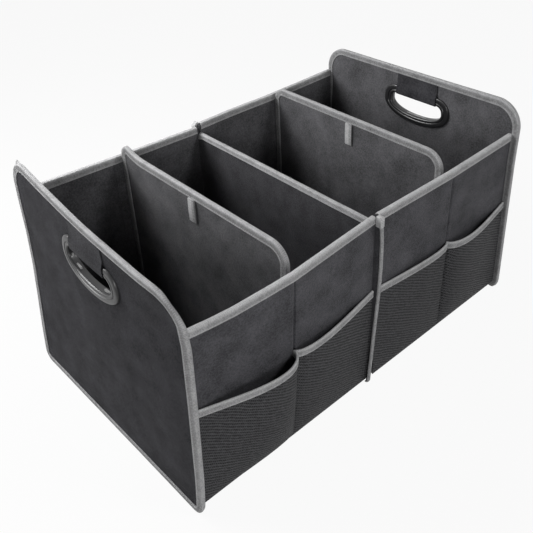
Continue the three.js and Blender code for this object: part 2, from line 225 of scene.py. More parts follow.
def settle(point):
    """The solids' shape of the standing box, with the ends' warp and the rims' sag, in metres."""
    x, y, z = point
    side = "left" if x < 0 else "right"
    warp = bow(side, y, z) * end_share(x)
    lift = rise(side, x, y, z) if abs(y) > WALL_INSIDE - 12.0 or abs(x) > WALL_END else 0.0
    if y < 0:
        y *= 1 + FOLD_PUSH[side] * fold_share(x) * (z / RIM_HEIGHT) / WALL_FACE
    x -= math.copysign(END_LEAN * end_share(x) * (z / PANEL_HEIGHT), x)
    return Vector(((x + warp) * MM, (y + FRAME_SHIFT_Y) * MM, (z + lift) * MM))


def wave(x, y, z, size, seed=0.0):
    """Smooth noise from -1 to 1, with features of about the given size."""
    return noise.noise(Vector((x / size + seed, y / size - seed, z / size + 2 * seed)))


def wrinkle(x, y, seed, lean=0.42):
    """Long soft wrinkles that run down the cloth at a slant, from -1 to 1."""
    along = y * math.cos(lean) - x * math.sin(lean)
    across = x * math.cos(lean) + y * math.sin(lean)
    broad = noise.noise(Vector((across / 24.0 + seed, along / 120.0 - seed, seed)))
    fine = noise.noise(Vector((across / 9.0 - seed, along / 70.0 + seed, 2 * seed)))
    return broad + 0.28 * fine


# Materials

def set_inputs(node, **levels):
    """Plain levels on a node's own sockets, such as sheen_weight for Sheen Weight."""
    for name, level in levels.items():
        socket = "Specular IOR Level" if name == "specular" else name.replace("_", " ").title()
        node.inputs[socket].default_value = level


class Nodes:
    """A material's or world's node tree, emptied, with short calls for the nodes used here."""

    def __init__(self, owner):
        owner.use_nodes = True
        self.tree = owner.node_tree
        self.tree.nodes.clear()

    def new(self, kind):
        return self.tree.nodes.new("ShaderNode" + kind)

    def math(self, kind, a, b=0.0, c=0.0):
        node = self.new("Math")
        node.operation = kind
        for socket, value in zip(node.inputs, (a, b, c)):
            self.feed(socket, value)
        return node.outputs[0]

    def feed(self, socket, value):
        if hasattr(value, "is_linked"):
            self.tree.links.new(value, socket)
        else:
            socket.default_value = value

    def flat(self):
        """The flat pattern's own coordinates, in millimetres."""
        uv = self.new("UVMap")
        uv.uv_map = "flat"
        split = self.new("SeparateXYZ")
        self.feed(split.inputs[0], uv.outputs[0])
        return self.scaled(split.outputs[0], 1 / MM), self.scaled(split.outputs[1], 1 / MM)

    def scaled(self, value, by, plus=None):
        if plus is None:
            return self.math("MULTIPLY", value, by)
        return self.math("MULTIPLY_ADD", value, by, plus)

    def sine(self, value, pitch):
        return self.math("SINE", self.scaled(value, 2 * math.pi / pitch))

    def noise(self, scale, detail=3.0, roughness=0.55):
        coords = self.new("TexCoord")
        texture = self.new("TexNoise")
        set_inputs(texture, scale=scale, detail=detail, roughness=roughness)
        self.feed(texture.inputs["Vector"], coords.outputs["Object"])
        return texture.outputs["Fac"]

    def ramp(self, value, stops):
        node = self.new("ValToRGB")
        elements = node.color_ramp.elements
        while len(elements) < len(stops):
            elements.new(0.5)
        for element, (position, color) in zip(elements, stops):
            element.position = position
            element.color = (*color, 1.0)
        self.feed(node.inputs[0], value)
        return node.outputs[0]

    def paint(self, value, stops):
        self.feed(self.shader.inputs["Base Color"], self.ramp(value, stops))

    def bump(self, height, distance, strength):
        node = self.new("Bump")
        set_inputs(node, strength=strength, distance=distance)
        self.feed(node.inputs["Height"], height)
        self.feed(self.shader.inputs["Normal"], node.outputs[0])


def new_material(name):
    material = bpy.data.materials.new(name)
    n = Nodes(material)
    n.output = n.new("OutputMaterial")
    n.shader = n.new("BsdfPrincipled")
    n.feed(n.output.inputs[0], n.shader.outputs[0])
    return material, n


def woven_cloth(name, dark, light, gleam=0.14, pitch=1.5):
    """Plain woven polyester: crossing threads, slubs, soft clouds and a slight sheen."""
    material, n = new_material(name)
    u, v = n.flat()
    threads = n.scaled(n.sine(u, pitch), n.sine(v, pitch))
    slubs = n.noise(420.0, 3.0, 0.7)
    clouds = n.noise(30.0, 3.0)
    tone = n.scaled(clouds, 0.45, n.scaled(slubs, 0.65))
    tone = n.scaled(threads, 0.05, tone)
    n.paint(tone, [(0.38, dark), (0.72, light)])
    height = n.scaled(slubs, 2.2, threads)
    n.bump(height, 0.00028, 0.6)
    n.feed(n.shader.inputs["Roughness"], n.scaled(slubs, 0.25, 0.58))
    set_inputs(n.shader, specular=gleam, sheen_weight=gleam / 3, sheen_roughness=0.4)
    return material


def ribbed_mesh(name, dark, light):
    """Knitted mesh: slanting rows of cord with small dark eyes between the columns."""
    material, n = new_material(name)
    u, v = n.flat()
    slant = math.radians(28)
    across = n.scaled(u, math.sin(slant), n.scaled(v, math.cos(slant)))
    along = n.scaled(u, math.cos(slant), n.scaled(v, -math.sin(slant)))
    drift = n.scaled(n.noise(14.0, 2.0), 7.0)
    wander = n.scaled(n.noise(110.0, 2.0), 2.4)
    rows = n.sine(n.math("ADD", across, n.math("ADD", drift, wander)), 4.2)
    columns = n.sine(n.math("ADD", along, wander), 2.7)
    eyes = n.scaled(columns, n.math("SUBTRACT", 1.0, rows))
    height = n.scaled(eyes, 0.5, n.scaled(rows, 0.7))
    tone = n.scaled(height, 0.26, n.scaled(n.noise(300.0, 3.0, 0.7), 0.9))
    n.paint(tone, [(0.1, dark), (0.85, light)])
    n.bump(height, 0.0006, 0.8)
    set_inputs(n.shader, roughness=0.6, specular=0.06, sheen_weight=0.01)
    return material


def grosgrain(name, dark, light):
    """Ribbed binding tape: cross ribs, flecks, paler selvedges and a darker stitched middle."""
    material, n = new_material(name)
    u, v = n.flat()
    ribs = n.sine(n.scaled(v, 0.6, u), 2.2)
    picks = n.sine(v, 1.3)
    height = n.scaled(picks, 0.3, ribs)
    edge = n.math("ABSOLUTE", n.scaled(v, 1 / 4.4, -1.0))
    edge = n.math("MINIMUM", n.math("POWER", edge, 2.5), 1.0)
    tone = n.scaled(ribs, 0.07, n.scaled(n.noise(520.0, 3.0, 0.7), 0.75))
    tone = n.scaled(n.noise(60.0), 0.35, tone)
    tone = n.scaled(edge, 0.24, tone)
    n.paint(tone, [(0.36, dark), (0.92, light)])
    n.bump(height, 0.0003, 0.7)
    set_inputs(n.shader, roughness=0.6, specular=0.2, sheen_weight=0.06, sheen_roughness=0.4)
    return material


def thread(name, color):
    material, n = new_material(name)
    twist = n.noise(2500.0, 1.0)
    low = tuple(0.75 * c for c in color)
    n.paint(twist, [(0.35, low), (0.65, color)])
    n.bump(twist, 0.0001, 0.5)
    set_inputs(n.shader, roughness=0.5)
    return material


def moulded_plastic(name, color):
    """Glossy black moulding with a faint ripple and fine handling scratches."""
    material, n = new_material(name)
    ripple = n.noise(180.0, 2.0)
    haze = n.noise(45.0, 4.0)
    low = tuple(0.7 * c for c in color)
    n.paint(haze, [(0.3, low), (0.7, color)])
    n.feed(n.shader.inputs["Roughness"], n.scaled(haze, 0.14, 0.3))
    n.bump(ripple, 0.00012, 0.3)
    set_inputs(n.shader, specular=0.4, coat_weight=0.12, coat_roughness=0.15)
    return material


def stiff_board(name):
    material, n = new_material(name)
    grain = n.noise(300.0, 4.0)
    n.paint(grain, [(0.3, (0.2, 0.2, 0.2)), (0.7, (0.3, 0.3, 0.3))])
    n.bump(grain, 0.0002, 0.4)
    set_inputs(n.shader, roughness=0.7)
    return material


CLOTH_FINISH = woven_cloth("woven_cloth", (0.018, 0.018, 0.0205), (0.084, 0.083, 0.091))
# Inner faces: the outer cloth made lighter, as painted light on the inside of the box
LIT_LINING_FINISH = woven_cloth("woven_lining_painted_light", (0.032, 0.032, 0.034), (0.112, 0.111, 0.118))
# Partition and fins: the outer cloth made darker, as painted shade on their faces
SHADED_PARTITION_FINISH = woven_cloth("partition_cloth_painted_shade", (0.016, 0.016, 0.018), (0.060, 0.059, 0.065))
STRAP_FINISH = woven_cloth("strap_cloth", (0.012, 0.012, 0.0135), (0.054, 0.0535, 0.059), 0.06)
# Outer faces of the end panels: the outer cloth made darker, as painted shade
SHADED_END_FINISH = woven_cloth("end_cloth_painted_shade", (0.006, 0.006, 0.0072), (0.042, 0.0415, 0.047), 0.05)
MESH_FINISH = ribbed_mesh("ribbed_mesh", (0.003, 0.003, 0.0035), (0.088, 0.088, 0.092))
TAPE_FINISH = grosgrain("grosgrain_tape", (0.13, 0.13, 0.133), (0.47, 0.47, 0.475))
# Tape round the end panels and dividers: the rim tape made darker, as painted shade on these edges
SHADED_PANEL_TAPE_FINISH = grosgrain("grosgrain_panel_tape_painted_shade", (0.075, 0.075, 0.077), (0.38, 0.38, 0.385))
GREY_THREAD = thread("grey_thread", (0.42, 0.42, 0.43))
BLACK_THREAD = thread("black_thread", (0.02, 0.02, 0.022))
GRIP_FINISH = moulded_plastic("glossy_plastic", (0.013, 0.013, 0.014))
BOARD_FINISH = stiff_board("stiff_board")


# Mesh builders. A piece is drawn in the square box and settled on the way in.

def add_object(name, data):
    thing = bpy.data.objects.new(name, data)
    bpy.context.scene.collection.objects.link(thing)
    return thing


def add_piece(name, points, faces, flats, finish, replaced, smooth=True):
    mesh = bpy.data.meshes.new(name)
    mesh.from_pydata([settle(p) for p in points], [], faces)
    layer = mesh.uv_layers.new(name="flat")
    for polygon in mesh.polygons:
        for loop in polygon.loop_indices:
            a, b = flats[mesh.loops[loop].vertex_index]
            layer.data[loop].uv = (a * MM, b * MM)
        polygon.use_smooth = smooth
    mesh.materials.append(finish)
    work = bmesh.new()
    work.from_mesh(mesh)
    bmesh.ops.recalc_face_normals(work, faces=work.faces)
    work.to_mesh(mesh)
    work.free()
    piece = add_object(name, mesh)
    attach(piece, "root")
    if replaced:
        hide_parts(*replaced)
    if smooth:
        sharp = piece.modifiers.new("edges", "EDGE_SPLIT")
        sharp.split_angle = SHARP_ANGLE
        sharp.use_edge_sharp = False
    return piece


def stations(low, high, step, fixed=()):
    """Even stations from low to high, with each fixed value hit exactly."""
    marks = sorted({low, high, *[f for f in fixed if low < f < high]})
    result = [marks[0]]
    for a, b in zip(marks, marks[1:]):
        count = max(1, round((b - a) / step))
        result += [a + (b - a) * (i + 1) / count for i in range(count)]
    return result


def sheet(name, us, vs, place, depth, finish, replaced, keep=None, snap=None):
    """A layer of cloth over a flat grid. place gives its face and depth its thickness."""
    columns = len(us)
    kept = [
        (i, j)
        for j in range(len(vs) - 1)
        for i in range(columns - 1)
        if keep is None or keep((us[i] + us[i + 1]) / 2, (vs[j] + vs[j + 1]) / 2)
    ]
    edges = {}
    quads = []
    for i, j in kept:
        a = j * columns + i
        quad = (a, a + 1, a + columns + 1, a + columns)
        quads.append(quad)
        for p, q in zip(quad, quad[1:] + quad[:1]):
            edges[(p, q)] = edges.get((p, q), 0) + 1
    border = [(p, q) for (p, q) in edges if (q, p) not in edges]
    on_border = {p for edge in border for p in edge}
    used = sorted({p for quad in quads for p in quad})
    number = {p: k for k, p in enumerate(used)}
    front, flats = [], []
    for p in used:
        u, v = us[p % columns], vs[p // columns]
        if snap is not None and p in on_border:
            u, v = snap(u, v)
        front.append(place(u, v))
        flats.append((u, v))
    back = [tuple(c + d for c, d in zip(point, depth)) for point in front]
    count = len(front)
    faces = [tuple(number[p] for p in quad) for quad in quads]
    faces += [tuple(number[p] + count for p in reversed(quad)) for quad in quads]
    faces += [(number[q], number[p], number[p] + count, number[q] + count) for p, q in border]
    piece = add_piece(name, front + back, faces, flats + flats, finish, replaced)
    return piece


def loft_faces(ring, steps, closed=False):
    """Faces between rings of points, round and round, with both ends capped unless closed."""
    faces = []
    for s in range(steps if closed else steps - 1):
        start, following = s * ring, ((s + 1) % steps) * ring
        for k in range(ring):
            beside = (k + 1) % ring
            faces.append((start + k, start + beside, following + beside, following + k))
    if not closed:
        faces.append(tuple(range(ring - 1, -1, -1)))
        faces.append(tuple(range((steps - 1) * ring, steps * ring)))
    return faces


def sweep(path, section, closed):
    """Section points carried along a path of (point, across, out) frames."""
    points, flats = [], []
    travelled = 0.0
    before = None
    around = tape_flats(section)
    for origin, across, out in path:
        if before is not None:
            travelled += (origin - before).length
        before = origin
        for k, (a, d) in enumerate(section):
            points.append(tuple(origin + across * a + out * d))
            flats.append((travelled, around[k]))
    return points, loft_faces(len(section), len(path), closed), flats


def tape_flats(section):
    """How far each section point lies from the tape's free edge."""
    low = min(d for _, d in section)
    return [d - low for _, d in section]


def tape_section(width, half=THICK / 2 + SEAT):
    """Tape folded over an edge: across, and out past the edge of the cloth."""
    outer = half + TAPE
    low = SKIN - width
    rounding = [(0.0, -0.9), (0.16, 0.0), (0.55, 0.72), (1.35, 1.12), (outer, 1.2)]
    right = [(outer, low), (outer, low * 0.66), (outer, low * 0.33)]
    over = [(outer - inset, rise) for inset, rise in rounding]
    face = right + over
    inside = [(half, -0.6), (half - 0.5, SEAT - 0.05), (0.0, SEAT)]
    back = [(half, low), (half, low * 0.5)] + inside
    left_face = [(-a, d) for a, d in reversed(face[:-1])]
    left_back = [(-a, d) for a, d in back[:-1]]
    return face + left_face + left_back + [(a, d) for a, d in reversed(back)]


def stitches(name, marks, finish, length=2.3, width=0.55, height=0.35):
    """Small rounded stitches at (point, along, up) marks, in the square box."""
    points, faces, flats = [], [], []
    for origin, along, up in marks:
        side = along.cross(up).normalized()
        base = len(points)
        rows = ((-0.5, 0.35, 0.0), (-0.28, 1.0, 1.0), (0.28, 1.0, 1.0), (0.5, 0.35, 0.0))
        for reach, broad, tall in rows:
            middle = origin + along * (reach * length)
            points.append(tuple(middle - side * (width / 2 * broad) - up * 0.15))
            points.append(tuple(middle + up * (height * tall)))
            points.append(tuple(middle + side * (width / 2 * broad) - up * 0.15))
            flats += [(reach * length, k * width) for k in range(3)]
        for row in range(3):
            a = base + row * 3
            faces += [(a, a + 3, a + 4, a + 1), (a + 1, a + 4, a + 5, a + 2), (a + 2, a + 5, a + 3, a)]
        faces += [(base, base + 1, base + 2), (base + 11, base + 10, base + 9)]
    return add_piece(name, points, faces, flats, finish, (), smooth=False)


def rounded_path(half, foot, top, foot_radius, top_radii, step=6.0):
    """Points and outward normals round a panel's edge, in (y, z), anticlockwise."""
    front, rear = top_radii
    corners = [
        (half - foot_radius, foot + foot_radius, foot_radius, -90),
        (half - rear, top - rear, rear, 0),
        (-half + front, top - front, front, 90),
        (-half + foot_radius, foot + foot_radius, foot_radius, 180),
    ]
    arcs = []
    for y, z, radius, start in corners:
        count = max(2, round(radius * math.pi / 2 / 4.0))
        arc = []
        for i in range(count + 1):
            angle = math.radians(start + 90 * i / count)
            normal = Vector((math.cos(angle), math.sin(angle)))
            arc.append((Vector((y, z)) + normal * radius, normal))
        arcs.append(arc)
    path = []
    for arc, following in zip(arcs, arcs[1:] + arcs[:1]):
        path += arc
        a, b = arc[-1][0], following[0][0]
        count = max(1, round((b - a).length / step))
        path += [(a.lerp(b, i / count), arc[-1][1]) for i in range(1, count)]
    return path


def add_tape(name, path, section, replaced, finish=TAPE_FINISH, closed=False):
    points, faces, flats = sweep(path, section, closed)
    add_piece(name, points, faces, flats, finish, replaced)


def add_stitched_tape(name, path, width, replaced, finish=TAPE_FINISH, closed=False):
    add_tape(name, path, tape_section(width), replaced, finish, closed)
    add_tape_stitches(name, path, width, closed)


def tape_ring(name, x, outline, width, replaced, seed):
    """Binding tape round the edge of an upright panel, with its two rows of stitches."""
    path = []
    for point, normal in outline:
        wobble = 0.22 * wave(point.x, point.y, x, 35.0, seed)
        origin = Vector((x + 0.25 * wobble, point.x, point.y))
        path.append((origin, X_AXIS, Vector((0, normal.x, normal.y))))
    add_stitched_tape(name, path, width, replaced, SHADED_PANEL_TAPE_FINISH, closed=True)


def add_tape_stitches(name, path, width, closed):
    marks = []
    inward = width - SKIN - STITCH_INSET
    frames = path + path[:1] if closed else path
    for sign in (-1, 1):
        left_over = TAPE_STITCH_PITCH / 2
        for (p, across, out), (q, next_across, next_out) in zip(frames, frames[1:]):
            length = (q - p).length
            along = (q - p).normalized()
            at = left_over
            while at < length:
                share = at / length
                normal_out = out.lerp(next_out, share)
                side = across.lerp(next_across, share) * sign
                middle = p.lerp(q, share) + side * (THICK / 2 + SKIN) - normal_out * inward
                marks.append((middle, along, side))
                at += TAPE_STITCH_PITCH
            left_over = at - length
    stitches(f"{name}_stitches", marks, GREY_THREAD)


# End panels

def bezier(corners, steps):
    """Points along a curve with these corners, without the last one."""
    points = []
    for i in range(steps):
        row = [Vector(corner) for corner in corners]
        while len(row) > 1:
            row = [a.lerp(b, i / steps) for a, b in zip(row, row[1:])]
        points.append(row[0])
    return points


def grip_outline(side, grow, steps=10):
    """The hand hole grown by so much, as points in (y, z), anticlockwise from the top left."""
    half = GRIP_WIDTH / 2 - GRIP_RIM + grow
    top = PANEL_HEIGHT - GRIP_TOP - GRIP_RIM + grow + GRIP_LIFT[side]
    depth = GRIP_HEIGHT - 2 * GRIP_RIM + 2 * grow
    corner = GRIP_CORNER + grow

    left, middle, right = GRIP_SHIFT - half, GRIP_SHIFT, GRIP_SHIFT + half
    flare = half * 0.55
    floor = top - depth
    shoulder = top - depth * 0.8
    arcs = [
        (steps, [(left + corner, top), (left, top), (left, top - corner)]),
        (2 * steps, [(left, top - corner), (left, shoulder), (middle - flare, floor), (middle, floor)]),
        (2 * steps, [(middle, floor), (middle + flare, floor), (right, shoulder), (right, top - corner)]),
        (steps, [(right, top - corner), (right, top), (right - corner, top)]),
        (steps, [(right - corner, top), (left + corner, top)]),
    ]
    return [point for count, corners in arcs for point in bezier(corners, count)]


def inside_outline(u, v, outline):
    inside = False
    for a, b in zip(outline, outline[1:] + outline[:1]):
        if (a.y > v) != (b.y > v) and u < a.x + (v - a.y) * (b.x - a.x) / (b.y - a.y):
            inside = not inside
    return inside


def shrunk(rim, inset):
    """A rounded outline moved inwards all round."""
    half, foot, top, foot_radius, top_radii = rim
    radii = tuple(radius - inset for radius in top_radii)
    return half - inset, foot + inset, top - inset, foot_radius - inset, radii


def corner_reach(u, v, rim):
    """The radius and middle of the nearest corner, and how far (u, v) lies past that middle."""
    half, foot, top, foot_radius, top_radii = rim
    upper = v > (foot + top) / 2
    radius = max(top_radii[u > 0] if upper else foot_radius, 0.01)
    middle_u = math.copysign(half - radius, u)
    middle_v = top - radius if upper else foot + radius
    over_v = v - middle_v if upper else middle_v - v
    return radius, middle_u, middle_v, abs(u) - (half - radius), over_v


def inside_rounded(u, v, rim, hole=()):
    half, foot, top = rim[:3]
    if abs(u) > half or not foot < v < top or inside_outline(u, v, hole):
        return False
    radius, _, _, over_u, over_v = corner_reach(u, v, rim)
    return over_u <= 0 or over_v <= 0 or math.hypot(over_u, over_v) <= radius


def pull_in(u, v, rim, inset=0.6):
    """The nearest place to (u, v) that lies inside a rounded outline."""
    rim = shrunk(rim, inset)
    u = clamp(u, -rim[0], rim[0])
    v = clamp(v, rim[1], rim[2])
    radius, middle_u, middle_v, over_u, over_v = corner_reach(u, v, rim)
    reach = math.hypot(over_u, over_v)
    if over_u > 0 and over_v > 0 and reach > radius:
        u = middle_u + (u - middle_u) * radius / reach
        v = middle_v + (v - middle_v) * radius / reach
    return u, v


def grip_ring(side, name, low, high, replaced, collar_to=None):
    """Half of the moulded grip: a softly rounded flange and, on the outer half, the collar."""
    outer = grip_outline(side, GRIP_RIM)
    inner = grip_outline(side, 0.0)
    flange = [(0.0, 0.0), (0.015, 0.45), (0.05, 0.72), (0.12, 0.86), (0.3, 0.96), (0.52, 0.98)]
    groove = [(0.57, 0.66), (0.61, 0.62), (0.66, 0.92), (0.72, 1.0)]
    lip = [(0.86, 0.98), (0.95, 0.84), (0.99, 0.55), (1.0, 0.0)]
    section = flange + groove + lip
    points, flats = [], []
    for k, (a, b) in enumerate(zip(outer, inner)):
        for share, rise in section:
            flat = a.lerp(b, share)
            points.append((low + (high - low) * rise, flat.x, flat.y))
            flats.append((k * 4.0, share * GRIP_RIM))
        if collar_to is not None:
            wall = a.lerp(b, 1 - GRIP_WALL / GRIP_RIM)
            points += [(collar_to, b.x, b.y), (collar_to, wall.x, wall.y), (low, wall.x, wall.y)]
            flats += [(k * 4.0, 20.0), (k * 4.0, 22.0), (k * 4.0, 26.0)]
    faces = loft_faces(len(points) // len(outer), len(outer), closed=True)
    return add_piece(name, points, faces, flats, GRIP_FINISH, replaced)


def ribbon(points, thickness):
    """Both faces of a strip that follows a centre line, as one closed outline."""
    line = [Vector(p) for p in points]
    near, far = [], []
    for i, point in enumerate(line):
        into = point - line[max(i - 1, 0)]
        out = line[min(i + 1, len(line) - 1)] - point
        first = (into if into.length > 0 else out).normalized()
        second = (out if out.length > 0 else into).normalized()
        normal = Vector((-first.y - second.y, first.x + second.x)).normalized()
        reach = thickness / 2 / max(0.4, normal.dot(Vector((-first.y, first.x))))
        near.append(point + normal * reach)
        far.append(point - normal * reach)
    return near, far


def strip(name, centre_line, half_width, middle_y, thickness, finish, replaced, step=4.0):
    """A strip of cloth or tape that follows a line in (x, z) and is level across."""
    near, far = ribbon(centre_line, thickness)
    ys = stations(middle_y - half_width, middle_y + half_width, step)
    points, flats = [], []
    around = [0.0]
    for a, b in zip(near, near[1:]):
        around.append(around[-1] + (b - a).length)
    for y in ys:
        points += [(p.x, y, p.y) for p in near]
        points += [(p.x, y, p.y) for p in reversed(far)]
        flats += [(a, y) for a in around] + [(a, y) for a in reversed(around)]
    ring = 2 * len(near)
    faces = loft_faces(ring, len(ys))[:-2]
    last = (len(ys) - 1) * ring
    for k in range(len(near) - 1):
        quad = (k, k + 1, ring - 2 - k, ring - 1 - k)
        faces.append(tuple(reversed(quad)))
        faces.append(tuple(last + q for q in quad))
    piece = add_piece(name, points, faces, flats, finish, replaced)
    length = sum(math.dist(a, b) for a, b in zip(centre_line, centre_line[1:]))
    return piece


def build_end(side):
    sign = SIDES[side]
    centre = sign * (END_FACE - THICK / 2)
    half = FIN_FACE - SKIN
    top = PANEL_HEIGHT - SKIN
    rim = (half, SKIN, top, PANEL_FOOT_RADIUS[side], (PANEL_TOP_RADIUS, PANEL_TOP_RADIUS))
    hole = grip_outline(side, GRIP_WALL + SEAT)
    us = stations(-half, half, FINE_CELL)
    vs = stations(SKIN, top, FINE_CELL)

    keep = partial(inside_rounded, rim=rim, hole=hole)

    def snap(u, v):
        nearest = min(hole, key=lambda p: (p.x - u) ** 2 + (p.y - v) ** 2)
        if math.hypot(nearest.x - u, nearest.y - v) < 9.0:
            return nearest.x, nearest.y
        return pull_in(u, v, rim)

    def swell(u, v, seed):
        """The cloth lies a little proud of its board and dips at the binding."""
        edge = min(half - abs(u), v - SKIN, top - v)
        lift = 0.5 * clamp(edge / 30.0) ** 0.5
        return lift + 0.5 * wrinkle(u, v, seed) * clamp(edge / 25.0)

    def outer(u, v):
        return (sign * (END_FACE + swell(u, v, 3.1) - 0.2), u - tuck(side, u, v), v)

    def inner(u, v):
        return (sign * (END_INSIDE - swell(u, v, 7.7) + 0.2), u - tuck(side, u, v), v)

    name = f"{side}_end"
    sheet(f"{name}_outer", us, vs, outer, (-sign * CLOTH, 0, 0), SHADED_END_FINISH,
          [f"{name}_outer_cloth"], keep, snap)
    sheet(f"{name}_inner", us, vs, inner, (sign * CLOTH, 0, 0), LIT_LINING_FINISH,
          [f"{name}_lining"], keep, snap)
    outline = [(Vector((p.x - tuck(side, p.x, p.y), p.y)), normal) for p, normal in rounded_path(*rim)]
    tape_ring(f"{name}_tape", centre, outline, PANEL_TAPE_WIDTH + 0.5, [f"{name}_edge_binding"],
              1.0 + sign)
    build_end_board(side, rim, hole)

    face = sign * (END_FACE + SEAT)
    back = sign * (END_INSIDE - SEAT)
    flange = sign * GRIP_FLANGE
    grip_ring(side, f"{name}_grip_outside", face, face + flange, [f"{name}_outer_grip"], collar_to=back)
    grip_ring(side, f"{name}_grip_inside", back, back - flange, [f"{name}_inner_grip"])

    strap_top = top + SKIN - PANEL_TAPE_WIDTH - SEAT
    bar_top = PANEL_HEIGHT - GRIP_TOP + GRIP_LIFT[side]
    hole_top = bar_top - GRIP_RIM
    lift = SEAT + GRIP_FLANGE + SEAT + CLOTH / 2
    near = SEAT + CLOTH / 2 + 0.3
    under = hole_top - SEAT - CLOTH / 2
    outside = [
        (END_FACE + near, strap_top),
        (END_FACE + near + 0.3, bar_top + 9.0),
        (END_FACE + near + 1.2, bar_top + 4.5),
        (END_FACE + lift - 0.7, bar_top + 0.5),
        (END_FACE + lift, bar_top - 3.0),
        (END_FACE + lift + 0.1, hole_top + 2.0),
        (END_FACE + lift - 0.5, under + 0.4),
        (END_FACE + lift - 1.3, under),
    ]
    inside = [(END_INSIDE - (x - END_FACE), z) for x, z in reversed(outside)]
    line = [(sign * x, z) for x, z in outside + inside]
    strip(f"{name}_strap", line, STRAP_WIDTH / 2, GRIP_SHIFT, CLOTH, STRAP_FINISH,
          [f"{name}_grip_strap"])
    for label, direction, plane in (("outer", 1, END_FACE + near), ("inner", -1, END_INSIDE - near)):
        marks = []
        for edge in (GRIP_SHIFT - STRAP_WIDTH / 2 + 2.5, GRIP_SHIFT + STRAP_WIDTH / 2 - 2.5):
            z = bar_top + 7.0
            while z < strap_top:
                point = Vector((sign * (plane + direction * (CLOTH / 2 + 0.05)), edge, z))
                marks.append((point, Z_AXIS, sign * direction * X_AXIS))
                z += STRAP_STITCH_PITCH
        stitches(f"{name}_strap_stitches_{label}", marks, BLACK_THREAD)


def build_end_board(side, rim, hole):
    sign = SIDES[side]
    centre = END_FACE - THICK / 2
    board_rim = shrunk(rim, BOARD_INSET)
    half, foot, top = board_rim[:3]

    keep = partial(inside_rounded, rim=board_rim, hole=hole)
    snap = partial(pull_in, rim=board_rim, inset=0.1)

    def face(u, v):
        return (sign * (centre + BOARD / 2), u - tuck(side, u, v), v)

    us = stations(-half, half, COARSE_CELL)
    vs = stations(foot, top, COARSE_CELL)
    sheet(f"{side}_end_stiffener", us, vs, face, (-sign * BOARD, 0, 0), BOARD_FINISH,
          [f"{side}_end_board"], keep, snap)


# Long walls

def wall_swell(x, z, seed):
    """Cloth over the two boards of a wall: pinched at the fold, tucked in at the edges."""
    along = abs(x)
    to_fold = abs(along - FOLD_X)
    edge = min(along - WALL_START, WALL_END - along, z - WALL_FOOT, WALL_TOP - z)
    groove = -1.1 * math.exp(-((to_fold / 1.9) ** 2))
    shoulder = 0.7 * clamp(to_fold / 14.0) * clamp(edge / 22.0)
    ripples = 1.5 * wrinkle(x, z, seed) * clamp(edge / 30.0) * clamp(to_fold / 20.0)
    return groove + shoulder + ripples


def fold_crease(x, z):
    """The front walls' fold: the left part laps a little over a deep narrow crease."""
    beyond = x - math.copysign(FOLD_X, x)
    deep = 2.4 + 1.6 * clamp(1 - z / WALL_TOP)
    lap = 1.3 * math.exp(-((beyond / 7.0) ** 2)) if beyond <= 0.2 else 0.0
    return lap - deep * math.exp(-(((beyond - 1.9) / 1.25) ** 2))


def mirrored(xs, side):
    return xs if side == "right" else [-x for x in reversed(xs)]


def build_wall(place, side):
    name = f"{place}_{side}_wall"
    facing = -1 if place == "front" else 1
    seed = {"front": 1.3, "rear": 5.9}[place] + SIDES[side]
    near = [FOLD_X + d for d in (-7, -4, -2.8, -1.9, -1, -0.2, 0.2, 1, 1.9, 2.8, 4, 7)]
    xs = mirrored(stations(WALL_START, WALL_END, CLOTH_CELL, near), side)
    zs = stations(WALL_FOOT, WALL_TOP, CLOTH_CELL)

    def crease(x, z):
        return fold_crease(x, z) if place == "front" else 0.0

    def outer(x, z):
        return (x, facing * (WALL_FACE - 0.3 + wall_swell(x, z, seed) + crease(x, z)), z)

    def inner(x, z):
        dent = min(0.0, crease(x, z) + 1.0)
        return (x, facing * (WALL_INSIDE + 0.3 - wall_swell(x, z, seed + 11) + dent), z)

    sheet(f"{name}_outer", xs, zs, outer, (0, -facing * CLOTH, 0), CLOTH_FINISH, [f"{name}_outer_cloth"])
    sheet(f"{name}_inner", xs, zs, inner, (0, facing * CLOTH, 0), LIT_LINING_FINISH, [f"{name}_lining"])
    build_rim(name, facing, side, seed)
    build_fold_seam(name, facing, side)
    middle = WALL_FACE - THICK / 2
    spans = {
        "inner": (WALL_START + BOARD_INSET, FOLD_X - 6.0),
        "outer": (FOLD_X + 6.0, WALL_END - BOARD_INSET),
    }
    for part, (start, end) in spans.items():
        across = [SIDES[side] * x for x in stations(start, end, FLAT_CELL)]
        up = stations(WALL_FOOT + BOARD_INSET, WALL_TOP - BOARD_INSET, FLAT_CELL)

        def face(x, z):
            return (x, facing * (middle + BOARD / 2), z)

        sheet(f"{name}_{part}_stiffener", sorted(across), up, face, (0, -facing * BOARD, 0), BOARD_FINISH,
              [f"{name}_{part}_board"])


def build_rim(name, facing, side, seed):
    """Tape over the wall's upper edge, with a crease at the fold."""
    sign = SIDES[side]
    middle = facing * (WALL_FACE - THICK / 2)
    path = []
    for x in stations(TRIM_START, TRIM_END, FINE_CELL, [FOLD_X]):
        wobble = 0.3 * wave(sign * x, 0, 0, 40.0, seed)
        origin = Vector((sign * x, middle + 0.3 * wobble, WALL_TOP + 0.4 * wobble))
        path.append((origin, Y_AXIS, Z_AXIS))
    add_stitched_tape(f"{name}_rim", path, TAPE_WIDTH, [f"{name}_rim_binding"])


def build_fold_seam(name, facing, side):
    """The row of black stitches that closes the two cloths together at the fold."""
    sign = SIDES[side]
    marks = []
    z = WALL_FOOT + 6.0
    while z < WALL_TOP - TAPE_WIDTH:
        depth = WALL_FACE - 0.3 + wall_swell(sign * FOLD_X, z, 0.0)
        point = Vector((sign * FOLD_X, facing * depth, z))
        marks.append((point, Z_AXIS, facing * Y_AXIS))
        z += FOLD_STITCH_PITCH
    stitches(f"{name}_fold_stitches", marks, BLACK_THREAD)


# Mesh pockets

